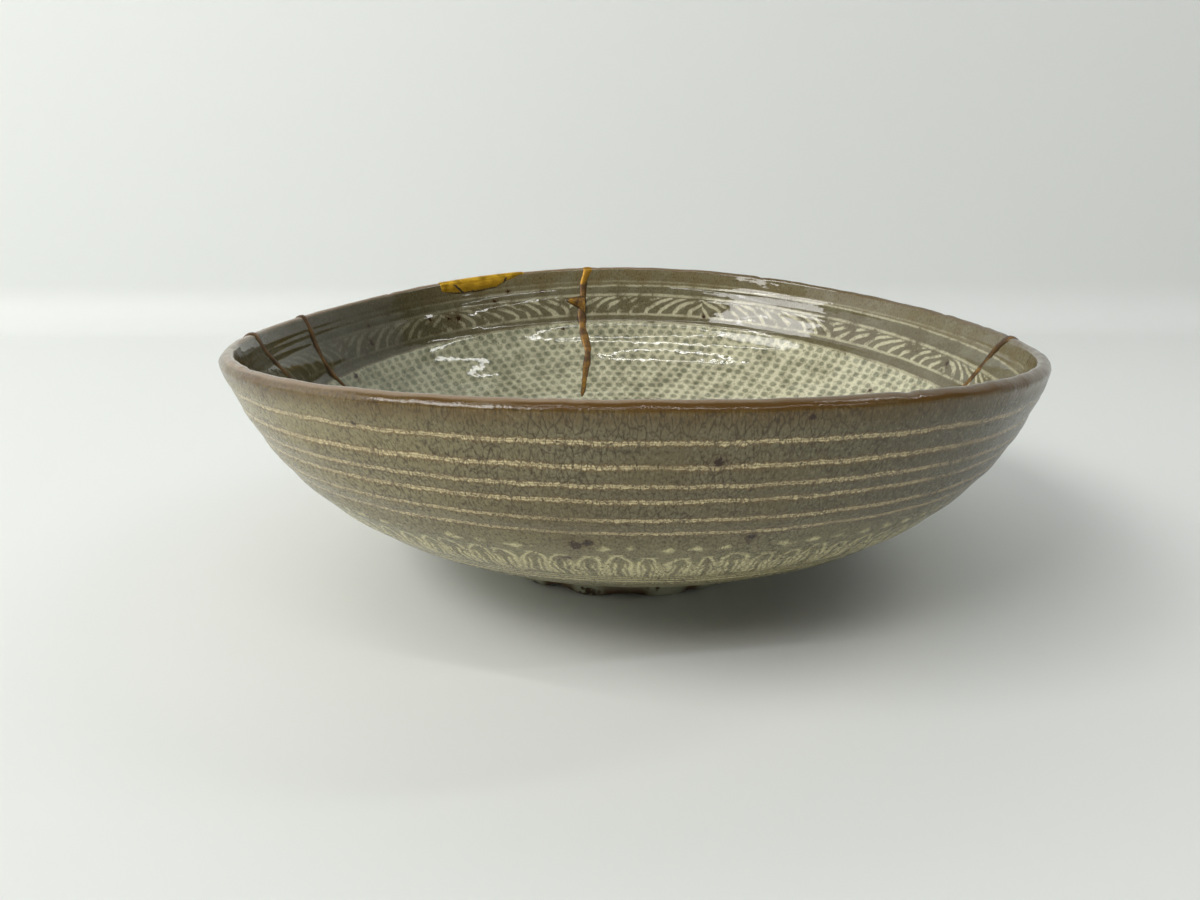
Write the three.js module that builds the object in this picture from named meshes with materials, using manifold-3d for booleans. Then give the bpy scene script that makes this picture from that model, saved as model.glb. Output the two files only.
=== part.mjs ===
// Kintsugi bowl: a wide, shallow stoneware bowl on a low foot ring. Its rim has sagged into
// a saddle in the kiln, and it was mended with gold lacquer: one fill where a flake broke out
// of the rim, and four seams that run down from the rim through the whole wall.
// Millimetres, +Z up. The origin is on the table, under the middle of the rim.

import * as THREE from 'three';
import { mergeVertices } from 'three/addons/utils/BufferGeometryUtils.js';
import Module from 'manifold-3d';

const manifold = await Module();
manifold.setup();

// ---- Driving dimensions -------------------------------------------------------------------

const RIM_RADIUS = 90;            // outside of the rim, before it warped
const RIM_HEIGHT = 55.7;          // mean height of the top of the lip
const LIP_THICKNESS = 3;          // wall just under the lip
const LIP_ROUND = 1.3;            // how far the rounded lip stands over the wall's end
const WALL_GAIN = 3.2;            // how much thicker the wall is at the foot than at the lip

const FOOT_RADIUS = 33.3;         // outside of the ring that stands on the table
const FOOT_HEIGHT = 6.4;          // table to the underside of the wall
const FOOT_WIDTH = 5;             // width of the ring
const FOOT_BEVEL = 0.7;           // worn edges of the ring
const FOOT_RECESS = 4.4;          // height of the base inside the ring
const FOOT_OFF_CENTRE = -1.9;     // the ring was trimmed a little to the left of the rim's middle
const FLOOR_DIP = 0.8;            // the floor inside is this much lower in its middle

const BELLY_START = 22;           // radius where the curve of the wall begins, under the floor
const BELLY_REACH = 30.5;         // how far the curve runs out almost level
const BELLY_RISE = 1.7;           // and how much it rises there
const SHOULDER_LEAN = 9.8;        // how far the wall's end leans out over SHOULDER_DROP
const SHOULDER_DROP = 36.6;

// The warp of the rim. Each wave goes round the rim so many times, with a crest of this many
// millimetres at this bearing. Bearings are degrees from +X towards +Y.
const HEIGHT_WAVES = [
  { waves: 1, crest: 1.95, bearing: 125 },    // the rim is tilted: highest at the back left
  { waves: 2, crest: 2.8, bearing: 90 },      // the saddle: front and back up, both sides down
  { waves: 3, crest: 0.57, bearing: 84 },
];
const RADIUS_WAVES = [
  { waves: 2, crest: 1.0, bearing: 52 },      // slightly oval
  { waves: 3, crest: 0.63, bearing: 4 },
  { waves: 4, crest: 1.1, bearing: 37 },
];
const WARP_POWER = 1.3;           // the warp fades faster than the height towards the foot

// The mends. Routes are [drop, across, width]: millimetres under the rim, sideways towards
// the next bearing, and wide.
const SEAMS = [
  {
    name: 'seam_back', bearing: 99,
    route: [[0, -0.7, 3.8], [3, 0.6, 2.6], [8, 1.3, 2.4], [14, 2, 3.0], [19, 1.9, 3.0],
      [24, 0.9, 2.8], [28, 1.6, 2.4], [33, 3.2, 1.8], [37, 4.5, 1.3]],
    splinter: [[8.2, 1.4], [9.2, 7.2], [13, 2.6], [14, 1.4]],
  },
  {
    name: 'seam_left', bearing: 168.9,
    route: [[0, 0, 2.6], [3, -0.3, 2.4], [6, 0.1, 2.2], [11, 0, 2.0], [15, -1, 1.8], [24, -5, 1.2]],
  },
  {
    name: 'seam_front_left', bearing: 187.6,
    route: [[0, 0, 3.0], [2.5, -0.2, 2.6], [4, -1, 2.6], [7, -3.4, 2.4], [10.5, -5.7, 2.0],
      [16, -9.4, 1.3]],
  },
  {
    name: 'seam_right', bearing: 0.5,
    route: [[0, -4, 4.2], [1.6, -1.7, 3.8], [3.7, 0.1, 2.6], [6, 1.2, 2.2], [9, 1.8, 2.2],
      [12.5, 3.2, 2.0], [19, 6.6, 1.2]],
  },
];
const SEAM_PROUD = 0.35;          // the lacquer stands this much over the wall, inside and out

const FLAKE_BEARING = 122;
// The flake's lower edge: [across, drop] from its blunt end to its tapered end.
const FLAKE_EDGE = [[14.2, 0.5], [13.6, 2.6], [9, 3.4], [0, 3.6], [-5, 3.2], [-9, 1.9], [-12.5, 0.6],
  [-15, -0.8]];

const FIT_GAP = 0.3;              // between the lacquer and the broken edges
const CUT_OVER = 12;              // how far a cut starts above the rim
const CUT_LENGTH = 60;            // how far a cut reaches through the wall, along the radius

// ---- Resolution ---------------------------------------------------------------------------

const SIDES = 72;
const WALL_STEPS = 11;
const LIP_STEPS = 4;

// ---- Profile ------------------------------------------------------------------------------

const wallTop = new THREE.Vector2(RIM_RADIUS, RIM_HEIGHT - LIP_ROUND);
const outerCurve = new THREE.CubicBezierCurve(
  new THREE.Vector2(BELLY_START, FOOT_HEIGHT),
  new THREE.Vector2(BELLY_START + BELLY_REACH, FOOT_HEIGHT + BELLY_RISE),
  new THREE.Vector2(RIM_RADIUS - SHOULDER_LEAN, wallTop.y - SHOULDER_DROP),
  wallTop,
);

// A point of the wall's curve, moved along its normal: positive goes towards the inside.
function offsetPoint(at, distance) {
  const point = outerCurve.getPointAt(at);
  const tangent = outerCurve.getTangentAt(at);
  return new THREE.Vector2(point.x - tangent.y * distance, point.y + tangent.x * distance);
}

function wallThickness(at) {
  return LIP_THICKNESS + WALL_GAIN * (1 - at) ** 0.7;
}

function steps(count) {
  return Array.from({ length: count + 1 }, (_, i) => i / count);
}

// The closed section of the bowl, from the middle of the underside, round the foot, up the
// outside, over the lip and down to the middle of the floor. proud thickens both faces.
function section(proud = 0) {
  const footInside = FOOT_RADIUS - FOOT_WIDTH;
  const foot = [
    new THREE.Vector2(0, FOOT_RECESS),
    new THREE.Vector2(footInside - 2, FOOT_RECESS),
    new THREE.Vector2(footInside - 0.5, FOOT_RECESS * 0.7),
    new THREE.Vector2(footInside, FOOT_BEVEL),
    new THREE.Vector2(footInside + FOOT_BEVEL, 0),
    new THREE.Vector2(FOOT_RADIUS - FOOT_BEVEL, 0),
    new THREE.Vector2(FOOT_RADIUS, FOOT_BEVEL),
    new THREE.Vector2(FOOT_RADIUS + 0.9, FOOT_HEIGHT * 0.75),
  ];
  const outside = steps(WALL_STEPS)
    .map((at) => offsetPoint(at, -proud))
    .filter((point) => point.x > FOOT_RADIUS + 1.5);
  const inside = steps(WALL_STEPS)
    .map((at) => offsetPoint(1 - at, wallThickness(1 - at) + proud));

  const outerEnd = outside[outside.length - 1];
  const middle = outerEnd.clone().add(inside[0]).multiplyScalar(0.5);
  const half = outerEnd.clone().sub(middle);
  const lip = steps(LIP_STEPS).slice(1, -1).map((at) => {
    const turn = at * Math.PI;
    const over = (LIP_ROUND + proud) * Math.sin(turn);
    return middle.clone().addScaledVector(half, Math.cos(turn)).add(new THREE.Vector2(0, over));
  });

  const floorEdge = inside[inside.length - 1];
  const floor = [
    new THREE.Vector2(floorEdge.x / 2, floorEdge.y - FLOOR_DIP * 0.75),
    new THREE.Vector2(0, floorEdge.y - FLOOR_DIP),
  ];
  return [...foot, ...outside, ...lip, ...inside, ...floor];
}

// ---- Warp ---------------------------------------------------------------------------------

function sumWaves(waves, bearing) {
  const term = ({ waves: count, crest, bearing: at }) =>
    crest * Math.cos(count * (bearing - THREE.MathUtils.degToRad(at)));
  return waves.reduce((sum, wave) => sum + term(wave), 0);
}

function rimHeightAt(bearing) {
  return RIM_HEIGHT + sumWaves(HEIGHT_WAVES, bearing);
}

// Moves every point of a turned shape to where the warped, off-centre bowl has it.
function warp(geometry) {
  const position = geometry.getAttribute('position');
  for (let i = 0; i < position.count; i += 1) {
    const x = position.getX(i);
    const y = position.getY(i);
    const z = position.getZ(i);
    const bearing = Math.atan2(y, x);
    const height = THREE.MathUtils.clamp((z - FOOT_HEIGHT) / (wallTop.y - FOOT_HEIGHT), 0, 1);
    const share = height ** WARP_POWER;
    const radius = Math.hypot(x, y) + share * sumWaves(RADIUS_WAVES, bearing);
    const shift = FOOT_OFF_CENTRE * (1 - THREE.MathUtils.smoothstep(z, 5, 14));
    position.setXYZ(
      i,
      radius * Math.cos(bearing) + shift,
      radius * Math.sin(bearing),
      z + share * sumWaves(HEIGHT_WAVES, bearing),
    );
  }
  return geometry;
}

// ---- Solids -------------------------------------------------------------------------------

function toSolid(source) {
  const bare = source.index ? source.toNonIndexed() : source.clone();
  bare.deleteAttribute('normal');
  bare.deleteAttribute('uv');
  const merged = mergeVertices(bare, 1e-4);
  const index = merged.getIndex().array;
  const faces = [];
  for (let i = 0; i < index.length; i += 3) {
    const [a, b, c] = [index[i], index[i + 1], index[i + 2]];
    if (a !== b && b !== c && c !== a) faces.push(a, b, c);
  }
  return new manifold.Manifold(new manifold.Mesh({
    numProp: 3,
    vertProperties: new Float32Array(merged.getAttribute('position').array),
    triVerts: new Uint32Array(faces),
  }));
}

function toGeometry(solid) {
  const mesh = solid.getMesh();
  const geometry = new THREE.BufferGeometry();
  geometry.setAttribute('position', new THREE.BufferAttribute(mesh.vertProperties, 3));
  geometry.setIndex(new THREE.BufferAttribute(mesh.triVerts, 1));
  geometry.computeVertexNormals();
  return geometry;
}

// The bowl as one turned and warped solid.
function bowlSolid(proud = 0) {
  const lathe = new THREE.LatheGeometry(section(proud), SIDES);
  lathe.rotateX(Math.PI / 2);
  return toSolid(warp(lathe));
}

// A cut through the wall at a bearing. The outline's x is across, its y is minus the drop
// under the rim, and the cut runs along the radius.
function cutThroughWall(outline, bearingDegrees) {
  const bearing = THREE.MathUtils.degToRad(bearingDegrees);
  const prism = new THREE.ExtrudeGeometry(new THREE.Shape(outline), {
    depth: CUT_LENGTH, bevelEnabled: false,
  });
  const across = new THREE.Vector3(-Math.sin(bearing), Math.cos(bearing), 0);
  const up = new THREE.Vector3(0, 0, 1);
  const inward = new THREE.Vector3().crossVectors(across, up).negate();
  const place = new THREE.Matrix4().makeBasis(across, up, inward.clone().negate());
  const start = inward.multiplyScalar(-(RIM_RADIUS - CUT_LENGTH + 10));
  start.z = rimHeightAt(bearing);
  place.setPosition(start);
  return toSolid(prism.applyMatrix4(place));
}

// The outline of a seam, grown by gap on both sides and at its end.
function seamOutline({ route }, gap) {
  const [firstDrop, firstAcross, firstWidth] = route[0];
  const line = [[firstDrop - CUT_OVER, firstAcross, firstWidth], ...route];
  const side = (sign) => line.map(([drop, across, width], i) => {
    const last = i === line.length - 1;
    return new THREE.Vector2(across + sign * (width / 2 + gap), -drop - (last ? gap : 0));
  });
  return [...side(-1), ...side(1).reverse()];
}

function splinterOutline({ splinter }, gap) {
  const points = splinter.map(([drop, across]) => new THREE.Vector2(across, -drop));
  const middle = points.reduce((sum, p) => sum.add(p), new THREE.Vector2())
    .divideScalar(points.length);
  return points.map((p) => {
    const out = p.clone().sub(middle).setLength(gap * 1.6);
    return p.clone().add(out);
  }).reverse();
}

function seamCut(seam, gap) {
  const groove = cutThroughWall(seamOutline(seam, gap), seam.bearing);
  if (!seam.splinter) return groove;
  return groove.add(cutThroughWall(splinterOutline(seam, gap), seam.bearing));
}

// The outline of the rim flake: a smooth lower edge, open above the rim.
function flakeOutline(gap) {
  const edge = new THREE.SplineCurve(
    FLAKE_EDGE.map(([across, drop]) => new THREE.Vector2(across, -drop)),
  ).getPoints(14);
  const grown = edge.map((point, i) => {
    const before = edge[Math.max(i - 1, 0)];
    const after = edge[Math.min(i + 1, edge.length - 1)];
    const along = after.clone().sub(before).normalize();
    return new THREE.Vector2(point.x + along.y * -gap, point.y + along.x * gap);
  });
  const start = grown[0];
  const end = grown[grown.length - 1];
  return [
    new THREE.Vector2(start.x, CUT_OVER),
    ...grown,
    new THREE.Vector2(end.x, CUT_OVER),
  ].reverse();
}

// ---- Assembly -----------------------------------------------------------------------------

const stoneware = new THREE.MeshStandardMaterial({
  color: 0x8f8a70, roughness: 0.38, metalness: 0,
});
const goldFill = new THREE.MeshStandardMaterial({
  color: 0xc9962e, roughness: 0.35, metalness: 0.9,
});
const agedLacquer = new THREE.MeshStandardMaterial({
  color: 0x7a5320, roughness: 0.4, metalness: 0.5,
});

function part(name, solid, material) {
  const mesh = new THREE.Mesh(toGeometry(solid), material);
  mesh.name = name;
  return mesh;
}

const bowl = new THREE.Group();
const proudBowl = bowlSolid(SEAM_PROUD);
const flakeCut = cutThroughWall(flakeOutline(FIT_GAP), FLAKE_BEARING);

let body = bowlSolid().subtract(flakeCut);
SEAMS.forEach((seam) => {
  body = body.subtract(seamCut(seam, FIT_GAP));
});
bowl.add(part('bowl_body', body, stoneware));

const flake = proudBowl.intersect(cutThroughWall(flakeOutline(0), FLAKE_BEARING));
bowl.add(part('rim_fill', flake, goldFill));

SEAMS.forEach((seam) => {
  bowl.add(part(seam.name, proudBowl.intersect(seamCut(seam, 0)), agedLacquer));
});

export default bowl;
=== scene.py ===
# %% [markdown]
# # A kintsugi bowl
# The real object is a wide, shallow stoneware bowl on a low foot ring. The potter threw it,
# pressed small dots and leaf strokes into the wall, filled them with white slip and covered it all
# with a grey-green celadon glaze. In the kiln the rim sagged into a saddle. Later the bowl broke,
# and it was mended with lacquer and gold: one flake of the rim and four cracks.
#
# The imported model is loaded first. It fixes every size and place, in metres, with Z up. Its box is kept.

# %% Load the imported model
import math
import bpy
import numpy as np
from mathutils import Matrix, Vector, kdtree, noise


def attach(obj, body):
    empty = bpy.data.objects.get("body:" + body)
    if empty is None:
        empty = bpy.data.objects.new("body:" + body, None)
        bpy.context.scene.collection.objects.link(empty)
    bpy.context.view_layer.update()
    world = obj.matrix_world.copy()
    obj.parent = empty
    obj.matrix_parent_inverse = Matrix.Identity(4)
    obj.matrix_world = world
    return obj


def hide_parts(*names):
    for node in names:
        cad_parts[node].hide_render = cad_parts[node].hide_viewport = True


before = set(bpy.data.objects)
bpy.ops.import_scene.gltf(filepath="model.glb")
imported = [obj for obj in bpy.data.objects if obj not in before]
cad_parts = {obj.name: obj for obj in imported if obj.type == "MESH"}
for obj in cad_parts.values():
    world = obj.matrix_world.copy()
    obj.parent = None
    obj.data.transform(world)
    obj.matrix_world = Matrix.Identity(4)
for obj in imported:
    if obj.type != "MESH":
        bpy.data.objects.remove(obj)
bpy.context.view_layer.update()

mm = 0.001
print("nodes:", sorted(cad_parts))

# %% [markdown]
# ## The camera
# It stands close in front of the bowl, a little above the rim, and looks down at about 16 degrees
# through a wide lens. That is why the near side of the rim looks so large. The camera comes first,
# because every later step is judged through it. Its three axes are worked out from the angles and
# set as the columns of one matrix.

# %% Camera
CAMERA_PLACE = Vector((-6.96, -209.4, 84.9)) * mm
CAMERA_LENS = 26.62
CAMERA_DOWN = 0.283        # radians, as the next two
CAMERA_YAW = -0.007        # towards +X
CAMERA_ROLL = -0.004


def look_through(place, down, yaw, roll):
    """The matrix of a camera that looks along +Y, turned by three small angles."""
    forward = Vector((math.sin(yaw) * math.cos(down), math.cos(yaw) * math.cos(down), -math.sin(down)))
    level = Vector((math.cos(yaw), -math.sin(yaw), 0))
    over = level.cross(forward)
    right = level * math.cos(roll) + over * math.sin(roll)
    up = over * math.cos(roll) - level * math.sin(roll)
    turn = Matrix((right, up, -forward)).transposed()
    return Matrix.Translation(place) @ turn.to_4x4()


bpy.ops.object.camera_add()
camera = bpy.context.object
camera.data.lens = CAMERA_LENS
camera.matrix_world = look_through(CAMERA_PLACE, CAMERA_DOWN, CAMERA_YAW, CAMERA_ROLL)
bpy.context.scene.camera = camera
bpy.context.scene.view_settings.view_transform = "Standard"
print("camera at", [round(value, 4) for value in camera.location])

# %% [markdown]
# ## The section of the bowl
# A thrown bowl is a section turned round an axis, so the section is drawn first. The outside of the
# wall is one Bezier curve, from the foot out and up to the rim. The inside is the same curve, moved
# inwards by the wall's thickness, which grows from the lip to the foot. A half ellipse closes the
# lip. The sizes are those of the solids.
#
# One more number is worked out for every point: `along`, the distance in millimetres from the crest
# of the lip, measured on the clay. It is positive inside and negative outside. The decoration
# follows it.

# %% Sizes of the bowl
RIM_RADIUS = 90.0
RIM_HEIGHT = 55.7
LIP_THICKNESS = 3.0
LIP_ROUND = 1.3
WALL_GAIN = 3.2
FOOT_RADIUS = 33.3
FOOT_HEIGHT = 6.4
FOOT_WIDTH = 5.0
FOOT_BEVEL = 0.7
FOOT_RECESS = 4.4
FOOT_OFF_CENTRE = -1.9
FLOOR_DIP = 0.8
WALL_END = RIM_HEIGHT - LIP_ROUND
WALL_CURVE = np.array([(22, FOOT_HEIGHT), (52.5, 8.1), (80.2, WALL_END - 36.6), (RIM_RADIUS, WALL_END)])


# %% Draw the section
def bezier(points, steps):
    """Points of a cubic Bezier curve, with equal distances between them."""
    t = np.linspace(0, 1, 4000)[:, None]
    a, b, c, d = points
    curve = a * (1 - t) ** 3 + 3 * b * t * (1 - t) ** 2 + 3 * c * t ** 2 * (1 - t) + d * t ** 3
    run = distances(curve)
    at = np.linspace(0, run[-1], steps)
    return np.stack([np.interp(at, run, curve[:, 0]), np.interp(at, run, curve[:, 1])], axis=1)


def distances(line):
    """How far each point of a line is from its start, along the line."""
    return np.concatenate([[0], np.cumsum(np.hypot(*np.diff(line, axis=0).T))])


def inward_normals(line):
    """Unit normals of a section line that goes up the wall; they point to the inside."""
    tangent = np.gradient(line, axis=0)
    tangent /= np.hypot(*tangent.T)[:, None]
    return np.stack([-tangent[:, 1], tangent[:, 0]], axis=1)


outside = bezier(WALL_CURVE, 1200)
share_up = np.linspace(0, 1, len(outside))
thickness = LIP_THICKNESS + WALL_GAIN * (1 - share_up) ** 0.7
inside = outside + inward_normals(outside) * thickness[:, None]
lip_middle = (outside[-1] + inside[-1]) / 2
lip_half = outside[-1] - lip_middle
lip_turn = np.linspace(0, math.pi, 61)[1:-1, None]
lip = lip_middle + lip_half * np.cos(lip_turn) + np.array([0, LIP_ROUND]) * np.sin(lip_turn)
foot_inside = FOOT_RADIUS - FOOT_WIDTH
foot = np.array([
    (0, FOOT_RECESS),
    (foot_inside - 2, FOOT_RECESS),
    (foot_inside - 0.5, FOOT_RECESS * 0.7),
    (foot_inside, FOOT_BEVEL),
    (foot_inside + FOOT_BEVEL, 0),
    (FOOT_RADIUS - FOOT_BEVEL, 0),
    (FOOT_RADIUS, FOOT_BEVEL),
    (FOOT_RADIUS + 0.9, FOOT_HEIGHT * 0.75),
])
floor_dip = np.linspace(0, 1, 40)[1:, None]
floor_edge = inside[0]
well = floor_edge * np.array([1, 0]) * (1 - floor_dip)
well = well + np.array([0, 1]) * (floor_edge[1] - FLOOR_DIP * (1 - (1 - floor_dip) ** 2))
section = np.concatenate([foot, outside[outside[:, 0] > FOOT_RADIUS + 1.5], lip, inside[::-1], well])
section_run = distances(section)
crest = np.argmax(section[:, 1])
section_run = section_run - section_run[crest]
print("section:", len(section), "points; outside", round(-section_run[0]), "mm, inside",
      round(section_run[-1]), "mm")


# %% [markdown]
# ## The warp
# No fired bowl is quite round. The rim's height and radius swing round the bowl in a few slow
# waves: one tilts it, two make the saddle, the rest make it slightly oval. The waves fade towards
# the foot, which was trimmed a little off the middle. Because the warp is one function, the bowl
# and every mend that lies on it are bent in the same way.

# %% Warp
HEIGHT_WAVES = [(1, 1.95, 125), (2, 2.8, 90), (3, 0.57, 84)]      # times round, crest in mm, bearing
RADIUS_WAVES = [(2, 1.0, 52), (3, 0.63, 4), (4, 1.1, 37)]
WARP_POWER = 1.3


def waves(table, bearing):
    """The sum of the waves at a bearing in radians."""
    return sum(crest * np.cos(count * (bearing - math.radians(at))) for count, crest, at in table)


def smooth_step(value, low, high):
    """0 below low, 1 above high, and a soft slope between them."""
    t = np.clip((value - low) / (high - low), 0, 1)
    return t * t * (3 - 2 * t)


def warped(radius, height, bearing):
    """Where the kiln left a point of the turned bowl: x, y and z in millimetres."""
    share = np.clip((height - FOOT_HEIGHT) / (WALL_END - FOOT_HEIGHT), 0, 1) ** WARP_POWER
    far = radius + share * waves(RADIUS_WAVES, bearing)
    shift = FOOT_OFF_CENTRE * (1 - smooth_step(height, 5, 14))
    x = far * np.cos(bearing) + shift
    y = far * np.sin(bearing)
    z = height + share * waves(HEIGHT_WAVES, bearing)
    return np.stack([x, y, z], axis=-1)


rim_heights = RIM_HEIGHT + waves(HEIGHT_WAVES, np.radians(np.arange(360)))
print("rim from", round(rim_heights.min(), 1), "to", round(rim_heights.max(), 1), "mm high")


# %% [markdown]
# ## Turning the body
# By hand this is: one point, extruded again and again along the section, then Spin. The points lie
# close together where grooves and lines run round the wall, and further apart where it is plain,
# so the mesh stays small. After the spin the doubled points are merged and the faces turned out.

# %% Choose the section's points
SPIN_STEPS = 400
SPACINGS = [(-200, 1.6), (-46, 1.1), (-27, 0.55), (-4, 0.4), (4, 0.55), (20, 1.1), (46, 1.9)]


def chosen_stations():
    """Distances along the section where the mesh gets a ring of points, corners included."""
    stations = list(section_run[: len(foot)])
    at = stations[-1]
    while at < section_run[-1]:
        spacing = [step for start, step in SPACINGS if at >= start][-1]
        at += spacing
        stations.append(min(at, section_run[-1]))
    return np.array(stations)


stations = chosen_stations()
ring_radius = np.interp(stations, section_run, section[:, 0])
ring_height = np.interp(stations, section_run, section[:, 1])
print("rings:", len(stations), "triangles:", 2 * len(stations) * SPIN_STEPS)


# %% Extrude and spin
def start_piece(name):
    """Deselects everything, so that the next operators act on the new piece alone."""
    if bpy.context.object and bpy.context.object.mode != "OBJECT":
        bpy.ops.object.mode_set(mode="OBJECT")
    bpy.ops.object.select_all(action="DESELECT")
    print("making", name)


def name_piece(name):
    """Gives the active object and its mesh their name."""
    piece = bpy.context.object
    piece.name = name
    piece.data.name = name
    return piece


start_piece("bowl")
first = Vector((ring_radius[0], 0, ring_height[0])) * mm
bpy.ops.mesh.primitive_plane_add(size=1 * mm, location=first)
bpy.ops.object.transform_apply(location=True)
bpy.ops.object.mode_set(mode="EDIT")
bpy.ops.mesh.merge(type="CENTER")
for i in range(1, len(stations)):
    step = Vector((ring_radius[i] - ring_radius[i - 1], 0, ring_height[i] - ring_height[i - 1])) * mm
    bpy.ops.mesh.extrude_vertices_move(TRANSFORM_OT_translate={"value": step})
bpy.ops.mesh.select_all(action="SELECT")
bpy.ops.mesh.spin(steps=SPIN_STEPS, angle=2 * math.pi, center=(0, 0, 0), axis=(0, 0, 1))
bpy.ops.mesh.select_all(action="SELECT")
bpy.ops.mesh.remove_doubles(threshold=0.01 * mm)
bpy.ops.mesh.normals_make_consistent(inside=False)
bpy.ops.object.mode_set(mode="OBJECT")
bowl = name_piece("bowl")
print("bowl:", len(bowl.data.vertices), "vertices", len(bowl.data.polygons), "faces")


# %% [markdown]
# ## Relief in the clay
# The potter's fingers left broad, soft rings; the inlaid lines lie in shallow grooves; the lip is
# worn and nicked; the foot is chipped where it was knocked. These are real shapes, so they move
# the points of the mesh. Each point is moved along the wall's own normal before the warp. Two
# attributes are kept for the glaze: `along`, and `clay`, which is 1 where a chip bared the body.

# %% Read the turned mesh
def read_points(piece):
    """A mesh's points as an array, in millimetres."""
    flat = np.empty(len(piece.data.vertices) * 3)
    piece.data.vertices.foreach_get("co", flat)
    return flat.reshape(-1, 3) / mm


def write_points(piece, points):
    """Sets a mesh's points from an array in millimetres."""
    piece.data.vertices.foreach_set("co", (points * mm).ravel())
    piece.data.update()


def write_attribute(piece, name, values):
    """Keeps one number for each point of a mesh, for the material to read."""
    attribute = piece.data.attributes.new(name, "FLOAT", "POINT")
    attribute.data.foreach_set("value", np.ascontiguousarray(values, dtype=np.float32))


points = read_points(bowl)
bearing = np.arctan2(points[:, 1], points[:, 0])
radius = np.hypot(points[:, 0], points[:, 1])
height = points[:, 2]
tree = kdtree.KDTree(len(stations))
for i in range(len(stations)):
    tree.insert((ring_radius[i], 0, ring_height[i]), i)
tree.balance()
ring = np.array([tree.find((r, 0, h))[1] for r, h in zip(radius, height)])
along = stations[ring]
print("along from", round(along.min(), 1), "to", round(along.max(), 1), "mm")

# %% Normals of the section
tangent = np.gradient(section, axis=0)
tangent /= np.hypot(*tangent.T)[:, None]
normal_out = np.stack([tangent[:, 1], -tangent[:, 0]], axis=1)


def on_section(along, lift=0.0):
    """The radius and height of a point of the wall, lifted off the clay by some millimetres."""
    r = np.interp(along, section_run, section[:, 0])
    h = np.interp(along, section_run, section[:, 1])
    out_r = np.interp(along, section_run, normal_out[:, 0])
    out_h = np.interp(along, section_run, normal_out[:, 1])
    return r + out_r * lift, h + out_h * lift


# %% Grooves, throwing rings, nicks and chips
# A ring inside is (place, width, sway); it sways because the wheel's axis and the rim's differ.
RINGS = {
    "faint": (4.75, 0.4, []),
    "upper": (6.45, 0.5, [(1, 0.57, -84), (2, 0.44, -56)]),
    "leaf top": (9.58, 0.8, [(1, 1.28, -34), (2, 0.49, -39)]),
    "leaf foot": (15.31, 0.7, [(1, 0.40, -20), (2, 0.63, -13)]),
    "field top": (18.35, 0.6, [(1, 0.50, -49), (2, 1.03, 1)]),
    "well": (62.0, 0.9, []),
    "centre": (64.5, 0.9, []),
}
OUTSIDE_LINES = [7.1, 11.4, 15.0, 18.2, 22.2, 25.7]                     # mm outside
OUTSIDE_SWAY = [(1, 0.45, 310)]
LOWER_LINES = [43.2, 44.6, 46.0]
LIP_NICKS = [(-64, 2.2, 0.35), (-52, 1.5, 0.25), (-97, 1.2, 0.2), (96, 1.4, 0.3), (61, 2.0, 0.3),
             (143, 1.6, 0.25), (20, 1.5, 0.25), (-140, 1.8, 0.25)]      # bearing, width, depth
FOOT_CHIPS = [(-118, 6, 1.6), (-92, 9, 1.1), (-66, 4, 0.7), (38, 7, 1.2), (150, 5, 0.9)]


def bump_at(distance, width):
    """1 in the middle of a mark and 0 outside it."""
    return np.exp(-(distance / (width / 2)) ** 2)


def slow_noise(points, size):
    """Soft noise between about -1 and 1, with lumps of a size in millimetres."""
    return np.array([noise.noise(Vector(point) / size) for point in points])


def arc(bearing, degrees, radius):
    """The distance round the bowl from a bearing in degrees, in millimetres."""
    turn = (bearing - math.radians(degrees) + math.pi) % (2 * math.pi) - math.pi
    return turn * radius


GROOVE_INSIDE = 0.12       # depths in mm
GROOVE_OUTSIDE = 0.10
GROOVE_LOW = 0.08
LEAF_LEDGE = 0.22
THROWING_PITCH = 8.5       # mm from one finger ring to the next
lift = np.zeros(len(points))
for place, width, sway in RINGS.values():
    lift -= GROOVE_INSIDE * bump_at(along - place - waves(sway, bearing), width * 1.4)
for place in OUTSIDE_LINES:
    lift -= GROOVE_OUTSIDE * bump_at(along + place + waves(OUTSIDE_SWAY, bearing), 1.2)
for place in LOWER_LINES:
    lift -= GROOVE_LOW * bump_at(along + place, 1.0)
below_leaves = along - RINGS["leaf foot"][0] - waves(RINGS["leaf foot"][2], bearing)
lift -= LEAF_LEDGE * smooth_step(below_leaves, 0.3, 1.0) * (1 - smooth_step(below_leaves, 2.0, 2.8))
lumps = slow_noise(points, 16)
grain = slow_noise(points + 50, 4)
on_wall = smooth_step(height, 7, 12)
finger_rings = np.sin(along * 2 * math.pi / THROWING_PITCH + 1.2 * np.sin(bearing + 1))
lift += on_wall * (0.10 * finger_rings + 0.14 * lumps)
near_lip = np.exp(-(along / 3) ** 2)
lift += near_lip * 0.16 * grain
for place, width, depth in LIP_NICKS:
    lift -= depth * bump_at(arc(bearing, place, RIM_RADIUS), width) * np.exp(-(along / 2.0) ** 2)
print("relief from", round(lift.min(), 2), "to", round(lift.max(), 2), "mm")

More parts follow.
